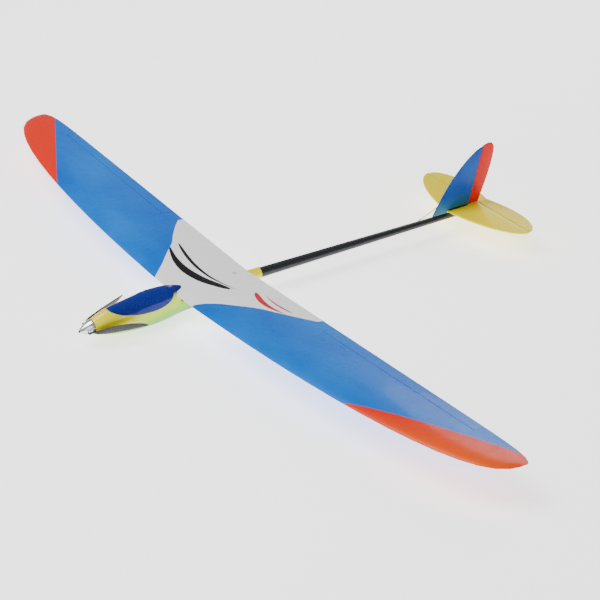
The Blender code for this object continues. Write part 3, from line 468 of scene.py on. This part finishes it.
def screw_head(name, centre, radius, body, axis=Vector((0, 0, 1))):
    """Domed head with a cross recess."""
    bm = bmesh.new()
    rings = [(1.0, 0.0), (1.0, 0.25), (0.86, 0.48), (0.55, 0.62), (0.38, 0.66)]
    steps = 24
    rows = []
    for r, h in rings:
        row = []
        for k in range(steps):
            a = 2 * math.pi * k / steps
            row.append(bm.verts.new((radius * r * math.cos(a), radius * r * math.sin(a), radius * h)))
        rows.append(row)
    floor_ring = []
    for k in range(steps):
        a = 2 * math.pi * k / steps
        arm = 0.36 if k % 6 in (0, 1, 5) else 0.16
        reach = radius * arm
        floor_ring.append(bm.verts.new((reach * math.cos(a), reach * math.sin(a), radius * 0.3)))
    rows.append(floor_ring)
    for a, b in zip(rows, rows[1:]):
        for k in range(steps):
            n = (k + 1) % steps
            bm.faces.new((a[k], a[n], b[n], b[k]))
    bm.faces.new(floor_ring)
    bm.faces.new(rows[0])
    turn = Vector((0, 0, 1)).rotation_difference(axis).to_matrix().to_4x4()
    bm.transform(Matrix.Translation(centre) @ turn)
    return piece(name, bm, MATERIALS["steel"], body)


def make_wing_details():
    for word, side in (("left", 1), ("right", -1)):
        tree = tree_of("wing_panel_" + word)
        film = MATERIALS["blue_film"]
        inner_x, inner_y = HINGE_INNER_END
        outer_x, outer_y = HINGE_OUTER_END
        route = []
        for k in range(31):
            t = k / 30
            x = inner_x + t * (outer_x - inner_x) + HINGE_TAPE_AHEAD
            route.append((x, side * (inner_y + t * (outer_y - inner_y))))
        name = "aileron_hinge_tape_" + word
        tape(name, tree, route, (1, 0), HINGE_TAPE_WIDTH, film, "airframe")
        centre = [(-0.0840 - 0.1010 * k / 24, side * 0.0034) for k in range(25)]
        tape("centre_tape_" + word, tree, centre, (0, 1), 0.0060, film, "airframe")
        low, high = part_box("aileron_servo_" + word)
        mid = (low + high) / 2
        for n, (dx, dy) in enumerate(((-0.0090, side * -0.0062), (0.0090, side * -0.0062))):
            head = Vector((mid.x + dx, mid.y + dy, low.z))
            screw_head("servo_screw_%s_%d" % (word, n), head, 0.0011, "airframe", Vector((0, 0, -1)))


def make_wing_bolt():
    """Domed nylon head with a screwdriver slot, in place of the plain one."""
    low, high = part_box("wing_bolt")
    centre = (low + high) / 2
    bm = bmesh.new()
    steps = 32
    profile = [(0.0024, low.z), (0.0024, high.z - 0.0024), (0.0045, high.z - 0.0024)]
    for k in range(7):
        a = math.pi / 2 * k / 6
        profile.append((0.0037 + 0.0008 * math.cos(a), high.z - 0.0010 + 0.0010 * math.sin(a)))
    rows = []
    angles = [2 * math.pi * k / steps for k in range(steps)]
    for r, z in profile:
        rows.append(
            [
                bm.verts.new((centre.x + r * math.cos(angle), r * math.sin(angle), z))
                for angle in angles
            ]
        )
    for a, b in zip(rows, rows[1:]):
        for k in range(steps):
            n = (k + 1) % steps
            bm.faces.new((a[k], a[n], b[n], b[k]))
    bm.faces.new(rows[0])
    bm.faces.new(rows[-1])
    bolt = piece("wing_bolt_domed", bm, MATERIALS["white_nylon"], "airframe")
    cutter_mesh = bmesh.new()
    bmesh.ops.create_cube(cutter_mesh, size=1.0)
    bmesh.ops.scale(cutter_mesh, vec=(0.0012, 0.0075, 0.0024), verts=cutter_mesh.verts)
    bmesh.ops.translate(cutter_mesh, vec=(centre.x, 0, high.z), verts=cutter_mesh.verts)
    mesh = bpy.data.meshes.new("slot_form")
    cutter_mesh.to_mesh(mesh)
    cutter_mesh.free()
    form = bpy.data.objects.new("slot_form", mesh)
    bpy.context.scene.collection.objects.link(form)
    cut = bolt.modifiers.new("slot", "BOOLEAN")
    cut.object = form
    bpy.context.view_layer.update()
    graph = bpy.context.evaluated_depsgraph_get()
    shaped = bpy.data.meshes.new_from_object(bolt.evaluated_get(graph))
    bolt.modifiers.clear()
    bolt.data = shaped
    bpy.data.objects.remove(form)
    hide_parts("wing_bolt")


def make_tail_details():
    """Hinge tape beside the rudder, and fillets where the fin meets the tailplane."""
    for side in (1, -1):
        bm = bmesh.new()
        rows = []
        for k in range(17):
            t = k / 16
            z = 0.052 + t * 0.104
            hinge = -0.7310 - (z - 0.0473) * 0.2753
            rows.append(
                [
                    bm.verts.new((hinge + 0.0031 + w * 0.0060, side * (0.00204 - 0.00002 * e), z))
                    for w, e in ((0.0, 1), (0.12, 0), (0.88, 0), (1.0, 1))
                ]
            )
        for a, b in zip(rows, rows[1:]):
            for k in range(3):
                bm.faces.new((a[k], a[k + 1], b[k + 1], b[k]))
        word = "left" if side > 0 else "right"
        piece("rudder_tape_%s" % word, bm, MATERIALS["fin_film"], "airframe")
        bm = bmesh.new()
        rows = []
        for k in range(13):
            t = k / 12
            x = -0.6800 - t * 0.0500
            grow = math.sin(math.pi * min(1.0, 0.12 + t * 0.88)) ** 0.5
            row = []
            for m in range(6):
                a = math.pi / 2 * m / 5
                r = 0.0026 * grow
                y = side * (0.0020 + r * (1 - math.sin(a)))
                z = 0.04835 + r * (1 - math.cos(a))
                row.append(bm.verts.new((x, y, z)))
            rows.append(row)
        for a, b in zip(rows, rows[1:]):
            for m in range(5):
                bm.faces.new((a[m], a[m + 1], b[m + 1], b[m]))
        piece(
            "fin_fillet_%s" % ("left" if side > 0 else "right"),
            bm,
            MATERIALS["black_plastic"],
            "airframe",
        )
    tree = tree_of("stabiliser")
    for word, side in (("left", 1), ("right", -1)):
        route = [(-0.7500, side * (0.004 + 0.150 * k / 20)) for k in range(21)]
        tape("elevator_tape_" + word, tree, route, (1, 0), 0.0062, CLEAR_TAPE, "airframe")


def make_pod_details():
    """Mould line under the pod."""
    tree = tree_of("pod_shell")
    bm = bmesh.new()
    rows = []
    for k in range(57):
        x = 0.0960 - 0.3370 * k / 56
        z = skin_height(tree, x, 0.0, above=False)
        if z is None:
            continue
        row = []
        for m in range(5):
            a = math.pi * m / 4
            row.append(bm.verts.new((x, 0.00045 * math.cos(a), z + 0.00005 - 0.00020 * math.sin(a))))
        rows.append(row)
    for a, b in zip(rows, rows[1:]):
        for m in range(4):
            bm.faces.new((a[m], a[m + 1], b[m + 1], b[m]))
    piece("pod_mould_line", bm, MATERIALS["pod_shell"], "airframe")


def tape_material(name, colour, rough):
    s = Surface(name, rough, coat=0.3)
    s.colour(s.mix(s.ramp(s.noise(80.0), 0.3, 0.7), colour, tuple(0.9 * c for c in colour)))
    s.bump(s.noise(200.0), 0.1, 0.0001)
    return s.mat


make_camera()
make_studio()
CLEAR_TAPE = tape_material("clear_tape", srgb(232, 226, 20), 0.12)
dress_nodes()
make_wing_details()
make_wing_bolt()
make_tail_details()
make_pod_details()
bpy.context.view_layer.update()
